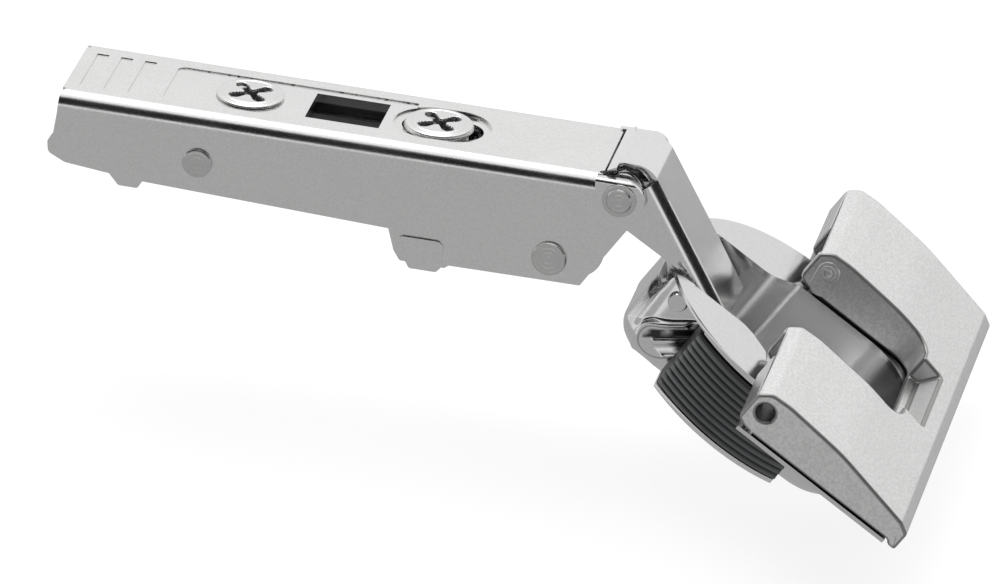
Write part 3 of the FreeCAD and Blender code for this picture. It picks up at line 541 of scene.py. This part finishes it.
SHEET = {"colour": (0.815, 0.815, 0.81), "rough": 0.17, "streak": 0.35, "grain": 1.0, "cloud": 0.02,
         "grain_scale": 4.0, "mottle": 0.07}
RIVET = {"colour": (0.66, 0.66, 0.655), "rough": 0.22, "grain": 1.2}
LOOKS = {
    "sheet": metal("sheet_steel", **SHEET),
    "arm": metal("arm_sheet", **SHEET, shade=panel_step, shade_colour=0.8, shade_rough=0.7),
    # Adapter and clip lever: painted shade where they lie up in the arm's channel
    "hidden": metal("inner_sheet_painted_shade", (0.80, 0.80, 0.795), 0.2, streak=0.35, grain=0.5, cloud=0.02,
                    shade=channel_painted_shade, shade_colour=0.16, shade_rough=0.4),
    "bright": metal("bright_steel", (0.76, 0.76, 0.76), 0.1, streak=0.15, grain=0.2, cloud=0.02),
    # The cup's skin takes painted shade in its pressed slot
    "drawn": metal("drawn_steel", (0.78, 0.78, 0.78), 0.13, streak=0.15, grain=0.4, cloud=0.03,
                   shade=slot_painted_shade, shade_colour=0.05, shade_rough=0.3),
    # The outer link takes painted shade on its inside
    "link": metal("link_steel", (0.80, 0.80, 0.80), 0.1, streak=0.2, grain=0.2, cloud=0.02,
                  shade=link_painted_shade, shade_colour=0.07, shade_rough=0.45),
    "cup": metal("cup_steel", (0.74, 0.74, 0.74), 0.12, streak=0.2, grain=0.4, cloud=0.03,
                 shade=inside_cup, shade_colour=0.74, shade_rough=0.26),
    "cast": metal("die_cast", (0.86, 0.86, 0.855), 0.27, grain=5.0, cloud=0.03, grain_scale=3.6,
                  mottle=0.15),
    # Painted light: a paler, less metallic copy of the cast look for the flap's end and scoop
    "cast_painted_light": metal("cast_painted_light", (0.84, 0.84, 0.835), 0.34, grain=4.0, cloud=0.03,
                       grain_scale=3.6, mottle=0.1, metallic=0.35),
    # Painted shade on the flap's rounded edges
    "cast_edge_painted_shade": metal("cast_edge_painted_shade", (0.38, 0.38, 0.375), 0.36, grain=3.0),
    "screw": metal("screw_steel", (0.79, 0.79, 0.785), 0.2, grain=0.8, cloud=0.04, grain_scale=4.0),
    # Painted shade for the screws' cross recesses; the flap's pins take it too
    "recess": metal("recess_painted_shade", (0.2, 0.2, 0.2), 0.5, grain=0.6),
    "rivet_rear": metal("rivet_rear", **RIVET, rings=(-26.6, 9.75)),
    "rivet_spring": metal("rivet_spring", **RIVET, rings=(15.3, 4.75)),
    "rivet_link": metal("rivet_link", **RIVET, rings=(22.8, 13.3)),
    "spring": metal("spring_steel", (0.42, 0.42, 0.43), 0.3, grain=0.4),
    "grey": plastic("grey_plastic", (0.2, 0.205, 0.21), 0.4),
}

# Look and edge rounding of each solid that is shown as it is
DRESS = {
    "arm": ("arm", 0.14), "adapter": ("hidden", 0.1), "link_rivet": ("rivet_link", 0.12),
    "spring_rivet": ("rivet_spring", 0.16), "rear_rivet": ("rivet_rear", 0.16),
    "clip_lever": ("hidden", 0.1), "clip_pin": ("screw", 0.05), "clip_spring": ("spring", 0.04),
    "side_ring": ("screw", 0.05), "outer_link": ("link", 0.14), "inner_link": ("sheet", 0.1),
    "closing_spring": ("spring", 0.0), "cup": ("cup", 0.1), "pin_outer": ("bright", 0.05),
    "pin_inner": ("bright", 0.05), "flap_lever": ("cast", 0.35), "flap_pin_near": ("recess", 0.05),
    "flap_pin_far": ("recess", 0.05), "jaw_near": ("grey", 0.05), "jaw_far": ("grey", 0.05),
    "jaw_carrier_near": ("sheet", 0.05), "jaw_carrier_far": ("sheet", 0.05),
    "guide_plate_near": ("sheet", 0.05), "guide_plate_far": ("sheet", 0.05),
}

# The piece whose roundings are wider than its shortest edges, and so aren't clamped to them
UNCLAMPED = "flap_lever"


def soften(piece, width_mm=0.0, clamp=True):
    """Welds a piece, rounds its sharp edges and shades it smoothly.

    The rounded edges take the last material.
    """
    weld = piece.modifiers.new("weld", "WELD")
    weld.merge_threshold = WELD_WITHIN * MM
    if not clamp:
        flats = piece.modifiers.new("flats", "DECIMATE")
        flats.decimate_type = "DISSOLVE"
        flats.angle_limit = math.radians(FLAT_WITHIN)
    if width_mm:
        bevel = piece.modifiers.new("round", "BEVEL")
        bevel.width = width_mm * MM
        bevel.segments = ROUND_STEPS
        bevel.limit_method = "ANGLE"
        bevel.angle_limit = math.radians(SHARP_FROM)
        bevel.miter_outer = "MITER_ARC"
        bevel.use_clamp_overlap = clamp
        bevel.material = len(piece.data.materials) - 1
    normals = piece.modifiers.new("normals", "WEIGHTED_NORMAL")
    normals.keep_sharp = True
    normals.weight = 80


def dress_flap(flap):
    """Painted light on the flap's end face and the facets of its scoop, and painted shade on its
    rounded edges.
    """
    flap.data.materials.append(LOOKS["cast_painted_light"])
    # The rounded edges take this painted shade
    flap.data.materials.append(LOOKS["cast_edge_painted_shade"])
    (ahead_x, ahead_z), (up_x, up_z) = cup_direction(1, 0), cup_direction(0, 1)
    ahead, up = Vector((ahead_x, 0, ahead_z)), Vector((up_x, 0, up_z))
    origin = Vector((CUP_ORIGIN[0], 0, CUP_ORIGIN[1]))
    for face in flap.data.polygons:
        place = face.center / MM - origin
        u, n = place.dot(ahead), place.dot(up)
        end = u > LIP_FROM and face.normal.dot(ahead) > LIP_FACING
        middle = u > SCOOP_FROM and n > SCOOP_LOW and abs(place.y) < FLAP_WALL_V
        if end or (middle and SCOOP_SLOPE[0] < face.normal.dot(up) < SCOOP_SLOPE[1]):
            face.material_index = 1


def dress(name):
    look, width = DRESS[name]
    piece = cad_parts[name]
    piece.data.materials.clear()
    piece.data.materials.append(LOOKS[look])
    if name == UNCLAMPED:
        dress_flap(piece)
    piece.data.polygons.foreach_set("use_smooth", [True] * len(piece.data.polygons))
    soften(piece, width, clamp=name != UNCLAMPED)


# Mesh helpers
def piece_of(name, points, faces, look):
    """A new object of its own mesh; the points are in millimetres."""
    mesh = bpy.data.meshes.new(name)
    mesh.from_pydata([tuple(c * MM for c in p) for p in points], [], faces)
    mesh.materials.append(LOOKS[look])
    mesh.polygons.foreach_set("use_smooth", [True] * len(mesh.polygons))
    piece = bpy.data.objects.new(name, mesh)
    bpy.context.scene.collection.objects.link(piece)
    return piece


def grid_faces(rows, cols, closed=False, start=0):
    """Quads of a grid of points, row by row; closed joins the last column to the first."""
    faces = []
    for r in range(rows - 1):
        for c in range(cols if closed else cols - 1):
            a, b = r * cols + c, r * cols + (c + 1) % cols
            faces.append((start + a, start + b, start + b + cols, start + a + cols))
    return faces


def smooth_step(low, high, value):
    """Rises from 0 at low to 1 at high; high may be the smaller number."""
    k = min(1.0, max(0.0, (value - low) / (high - low)))
    return k * k * (3 - 2 * k)


def bell(value, middle, width):
    """1 at the middle, and near 0 two widths away from it."""
    return math.exp(-((value - middle) / width) ** 2)


def cup_point(u, v, n):
    """Point of the solids' frame for the cup's own u, v, n."""
    x, z = cup_direction(u, n)
    return (CUP_ORIGIN[0] + x, v, CUP_ORIGIN[1] + z)


# Cup: a drawn skin over the outside of its wall, pressed in round the pins
def wall_path():
    """Plan of the cup's wall from the middle of its back to one side: u, v, outward normal, t.

    t runs along the wall and equals u on the flat side.
    """
    corners = [(CUP_BACK, BACK_HALF), (CUP_BACK + CORNER_LONG, CUP_SIDE)]
    headings = [math.radians(90), math.atan2(CUP_SIDE - BACK_HALF, CORNER_LONG), 0.0]
    place = Vector((CUP_BACK, 0.0))
    points = []
    for corner, heading, after in zip(corners, headings, headings[1:]):
        turn = heading - after
        ahead = Vector((math.cos(heading), math.sin(heading)))
        end = Vector(corner) - ahead * (WALL_R * math.tan(turn / 2))
        points += straight(place, end, heading)
        centre = end - outward(heading) * WALL_R
        steps = max(4, round(WALL_R * turn / SKIN_STEP))
        for k in range(steps):
            h = heading - turn * k / steps
            points.append((centre + outward(h) * WALL_R, h))
        place = centre + outward(after) * WALL_R
    front = Vector((SKIN_FRONT, CUP_SIDE))
    points += straight(place, front, 0.0) + [(front, 0.0)]
    path = [(p.x, p.y, *outward(h)) for p, h in points]
    lengths = [0.0]
    for a, b in zip(path, path[1:]):
        lengths.append(lengths[-1] + math.hypot(b[0] - a[0], b[1] - a[1]))
    return [q + (SKIN_FRONT + length - lengths[-1],) for q, length in zip(path, lengths)]


def outward(heading):
    """Unit vector to the left of a heading, away from the cup."""
    return Vector((-math.sin(heading), math.cos(heading)))


def straight(start, end, heading):
    """Points from start up to, but without, end."""
    steps = max(2, round((end - start).length / SKIN_STEP))
    return [(start + (end - start) * k / steps, heading) for k in range(steps)]


def slot_distance(t, n):
    """Distance from the middle line of the pressed slot, and height above that line."""
    (low_t, low_n), (high_t, high_n) = SLOT_ENDS
    long_t, long_n = high_t - low_t, high_n - low_n
    t, n = t - low_t, n - low_n
    share = min(1.0, max(0.0, (t * long_t + n * long_n) / (long_t ** 2 + long_n ** 2)))
    off = math.hypot(t - share * long_t, n - share * long_n)
    above = (n * long_t - t * long_n) / math.hypot(long_t, long_n)
    return off, above


def skin_height(t, n):
    """How far the skin stands out from the cup's plain wall."""
    off, above = slot_distance(t, n)
    ridge_t = RIDGE_TOP_T + (RIDGE_LOW_T - RIDGE_TOP_T) * min(1.0, max(0.0, -n / RIDGE_LONG))
    flat = smooth_step(*FLAT_FROM, t - ridge_t) * smooth_step(*FLAT_ABOVE, above)
    height = PLATEAU - (PLATEAU - FLAT) * flat
    height += RIDGE * bell(t - ridge_t, RIDGE_OFF, RIDGE_WIDE) * smooth_step(*RIDGE_ABOVE, above)
    height += SLOT_RIM * bell(off, SLOT_RIM_OFF, SLOT_RIM_WIDE)
    height += BACK_SWELL * bell(t, BACK_SWELL_T, BACK_SWELL_WIDE) * smooth_step(*BACK_SWELL_N, n)
    if off < SLOT_REACH:
        trough = math.cos(math.pi / 2 * off / SLOT_REACH)
        ridge = 1 - smooth_step(*SLOT_RIDGE_OFF, off)
        height += (SLOT_FLOOR - height) * trough + SLOT_RIDGE * ridge
    height *= BACK_THIN + (1 - BACK_THIN) * smooth_step(*BACK_THIN_T, t)
    height *= 1 - smooth_step(*FRONT_THIN_T, t)
    height *= 1 - smooth_step(*REAR_THIN_N, n) * smooth_step(*REAR_THIN_T, t)
    limit = REAR_LIMIT + (JAW_LIMIT - REAR_LIMIT) * smooth_step(*JAW_T, t)
    return max(min(height, limit), SLOT_FLOOR)


def skin_row(path_point):
    """Points of the skin down one line of the wall, over the lower edge to the floor."""
    u, v, across_u, across_v, t = path_point
    top = SKIN_TOP - REAR_DROP * smooth_step(*REAR_T, t)
    bend = CUP_LOW + FLOOR_R
    points = []
    for k in range(SKIN_ROWS):
        n = top + (bend - top) * k / (SKIN_ROWS - 1)
        points.append((n, 0.0, skin_height(t, n), 0.0))
    for k in range(1, EDGE_STEPS + 1):
        turn = math.radians(EDGE_TURN) * k / EDGE_STEPS
        n, inset = bend - FLOOR_R * math.sin(turn), FLOOR_R * (1 - math.cos(turn))
        height = skin_height(t, bend) * (1 - k / EDGE_STEPS) + EDGE_PROUD
        points.append((n, inset, height, turn))
    row = []
    for n, inset, height, turn in points:
        out = height * math.cos(turn) - inset
        row.append(cup_point(u + across_u * out, v + across_v * out, n - height * math.sin(turn)))
    return row


def make_cup_skin():
    side = [skin_row(point) for point in wall_path()]
    other = [[(x, -v, z) for x, v, z in row] for row in side[:0:-1]]
    rows = other + side
    points = [p for row in rows for p in row]
    skin = piece_of("cup_skin", points, grid_faces(len(rows), len(rows[0])), "drawn")
    shell = skin.modifiers.new("thick", "SOLIDIFY")
    shell.thickness = SKIN_THICK * MM
    shell.offset = 1.0
    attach(skin, "cup_body")


# Screws: turned head with a ring near its rim and a flared cross
def cross_depth(x, y):
    """Depth of the cross recess at a point of the head."""
    turn = math.radians(CROSS_TURN)
    first = abs(x * math.cos(turn) + y * math.sin(turn))
    second = abs(y * math.cos(turn) - x * math.sin(turn))
    depth = CROSS_PIT * (1 - smooth_step(*CROSS_PIT_R, math.hypot(x, y)))
    for lengthwise, sideways in ((first, second), (second, first)):
        half = CROSS_HALF + CROSS_FLARE * smooth_step(*CROSS_FLARE_FROM, lengthwise)
        over = math.hypot(max(0.0, lengthwise - CROSS_REACH), sideways) - half
        inside = 1 - smooth_step(-CROSS_EDGE, CROSS_EDGE, over)
        depth = max(depth, inside * (CROSS_DEEP - CROSS_RISE * lengthwise))
    return depth


def head_level(r, x, y):
    """Height of the head's top at a point, from the arm's top."""
    ring = HEAD_RING_DEEP * bell(r, HEAD_RING_R, HEAD_RING_WIDE)
    edge = HEAD_EDGE * smooth_step(*HEAD_EDGE_R, r)
    return HEAD_TOP - ring - edge - cross_depth(x, y)


def ring_of(radius, sides):
    turns = [2 * math.pi * k / sides for k in range(sides)]
    return [(radius * math.cos(a), radius * math.sin(a)) for a in turns]


def make_screw(node, body, centre_x, seat, lower):
    """One screw: its head from rings of points, then the turned profile down to its end."""
    profile = HEAD_PROFILE + [(HEAD_R, seat + 0.04), (HEAD_R - 0.05, seat)] + lower
    points = []
    for r in HEAD_RADII:
        points += [(x, y, head_level(r, x, y)) for x, y in ring_of(r, HEAD_SIDES)]
    for r, z in profile:
        points += [(x, y, z) for x, y in ring_of(r, HEAD_SIDES)]
    rows = len(HEAD_RADII) + len(profile)
    faces = [tuple(reversed(f)) for f in grid_faces(rows, HEAD_SIDES, True)]
    faces.append(tuple(range(HEAD_SIDES)))
    faces.append(tuple(reversed(range((rows - 1) * HEAD_SIDES, rows * HEAD_SIDES))))
    centre_x += ARM_ORIGIN.x
    points = [(x + centre_x, y, z + ARM_ORIGIN.z) for x, y, z in points]
    screw = piece_of(node + "_turned", points, faces, "screw")
    # Faces deep in the cross recess take painted shade
    screw.data.materials.append(LOOKS["recess"])
    low = (ARM_ORIGIN.z + HEAD_TOP - RECESS_SHADE) * MM
    for face in screw.data.polygons[:len(HEAD_RADII) * HEAD_SIDES]:
        off = math.hypot(face.center.x - centre_x * MM, face.center.y)
        if face.center.z < low and off < RECESS_R * MM:
            face.material_index = 1
    soften(screw)
    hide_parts(node)
    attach(screw, body)


# Flap: the boss of its axis on each leg's inner wall
def make_boss(name, side):
    """Obround boss with the axis's end on it, on the wall that faces the links."""
    heading = math.atan2(BOSS_LOW[1] - BOSS_TOP[1], BOSS_LOW[0] - BOSS_TOP[0])
    outline = []
    for middle, start in ((BOSS_LOW, heading - math.pi / 2), (BOSS_TOP, heading + math.pi / 2)):
        outline += [(middle, start + math.pi * k / BOSS_STEPS) for k in range(BOSS_STEPS + 1)]
    points = []
    for r, out in BOSS_LEVELS:
        v = side * (FLAP_WALL_V - out)
        points += [cup_point(m[0] + r * math.cos(a), v, m[1] + r * math.sin(a)) for m, a in outline]
    start = len(points)
    for r, out in PIN_RINGS:
        v = side * (FLAP_WALL_V - out)
        points += [cup_point(BOSS_TOP[0] + u, v, BOSS_TOP[1] + n) for u, n in ring_of(r, PIN_SIDES)]
    faces = grid_faces(len(BOSS_LEVELS), len(outline), True)
    faces.append(tuple(range(start - len(outline), start)))
    faces += grid_faces(len(PIN_RINGS), PIN_SIDES, True, start)
    faces.append(tuple(range(len(points) - PIN_SIDES, len(points))))
    if side > 0:
        faces = [tuple(reversed(f)) for f in faces]
    boss = piece_of(name, points, faces, "cast")
    soften(boss)
    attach(boss, "flap")


# Stage
def make_floor(low):
    """White floor with a soft shadow; the metal sees it as an even mid grey."""
    mat, tree = node_tree("floor")
    path = add(tree, "ShaderNodeLightPath")
    diffuse = add(tree, "ShaderNodeBsdfDiffuse", Color=grey(FLOOR_DIFFUSE))
    glow = add(tree, "ShaderNodeEmission", Color=grey(1), Strength=FLOOR_GLOW)
    lit = wire(tree, "ShaderNodeAddShader", {}, diffuse.outputs[0], glow.outputs[0])
    bounce = add(tree, "ShaderNodeEmission", Color=grey(1), Strength=FLOOR_SEEN)
    seen = path.outputs["Is Camera Ray"]
    shader = wire(tree, "ShaderNodeMixShader", {}, seen, bounce.outputs[0], lit.outputs[0])
    to_surface(tree, shader)
    half = FLOOR_SIZE / 2
    corners = [(-half, -half, low), (half, -half, low), (half, half, low), (-half, half, low)]
    mesh = bpy.data.meshes.new("floor")
    mesh.from_pydata(corners, [], [(0, 1, 2, 3)])
    mesh.materials.append(mat)
    floor = bpy.data.objects.new("floor", mesh)
    bpy.context.scene.collection.objects.link(floor)


def make_world():
    """White behind the object, and a studio for the metal.

    The far wall is pale, the ceiling bright, and black screens stand in front and on the right.
    """
    world = bpy.data.worlds.new("studio")
    bpy.context.scene.world = world
    world.use_nodes = True
    tree = world.node_tree
    tree.nodes.clear()
    ray = add(tree, "ShaderNodeTexCoord").outputs["Generated"]
    split = add(tree, "ShaderNodeSeparateXYZ", Vector=ray)
    x, y, z = (split.outputs[axis] for axis in "XYZ")
    ceiling = mixed(tree, band(tree, z, *CEILING_Z), grey(FAR_WALL), grey(CEILING))
    front = product(tree, band(tree, y, *FRONT_Y), window(tree, z, *FRONT_Z))
    right = product(tree, band(tree, x, *RIGHT_X), window(tree, z, *RIGHT_Z))
    screened = mixed(tree, front, ceiling, grey(SCREEN))
    room = mixed(tree, right, screened, grey(SCREEN))
    path = add(tree, "ShaderNodeLightPath")
    seen = mixed(tree, path.outputs["Is Camera Ray"], room, grey(1))
    shade = add(tree, "ShaderNodeBackground", Color=seen, Strength=1.0)
    to_surface(tree, shade, "ShaderNodeOutputWorld")


def make_key():
    """The one lamp: a large soft panel above and behind."""
    light = bpy.data.lights.new("key", "AREA")
    light.shape = "RECTANGLE"
    light.size, light.size_y = KEY_SIZE
    light.energy = KEY_POWER
    lamp = bpy.data.objects.new("key", light)
    lamp.location = KEY_PLACE
    lamp.rotation_mode = "QUATERNION"
    lamp.rotation_quaternion = (Vector(KEY_AIM) - Vector(KEY_PLACE)).to_track_quat("-Z", "Y")
    lamp.visible_camera = False
    bpy.context.scene.collection.objects.link(lamp)


def make_camera():
    az, el, roll = (math.radians(a) for a in (CAM_AZIMUTH, CAM_ELEVATION, CAM_ROLL))
    back = Vector((math.sin(az) * math.cos(el), -math.cos(az) * math.cos(el), math.sin(el)))
    right = Vector((math.cos(az), math.sin(az), 0))
    up = back.cross(right)
    rolled_right = right * math.cos(roll) + up * math.sin(roll)
    rolled_up = up * math.cos(roll) - right * math.sin(roll)
    data = bpy.data.cameras.new("camera")
    data.sensor_width = SENSOR
    data.lens = CAM_LENS
    data.clip_start, data.clip_end = CAM_CLIP
    camera = bpy.data.objects.new("camera", data)
    place = ARM_ORIGIN + back * CAM_DISTANCE - rolled_right * CAM_SIDE - rolled_up * CAM_UP
    turn = Matrix((rolled_right, rolled_up, back)).transposed().to_4x4()
    camera.matrix_world = Matrix.Translation(place * MM) @ turn
    bpy.context.scene.collection.objects.link(camera)
    bpy.context.scene.camera = camera


for name in DRESS:
    dress(name)

make_cup_skin()
make_screw("depth_screw", "depth_cam", DEPTH_X, DEPTH_SEAT, DEPTH_PROFILE)
make_screw("side_screw", "height_screw", SIDE_X, SIDE_SEAT, SIDE_PROFILE)
make_boss("boss_far", 1)
make_boss("boss_near", -1)

make_camera()
make_world()
make_floor(cad_box[0].z - FLOOR_DROP)
make_key()
bpy.context.scene.view_settings.view_transform = "Standard"
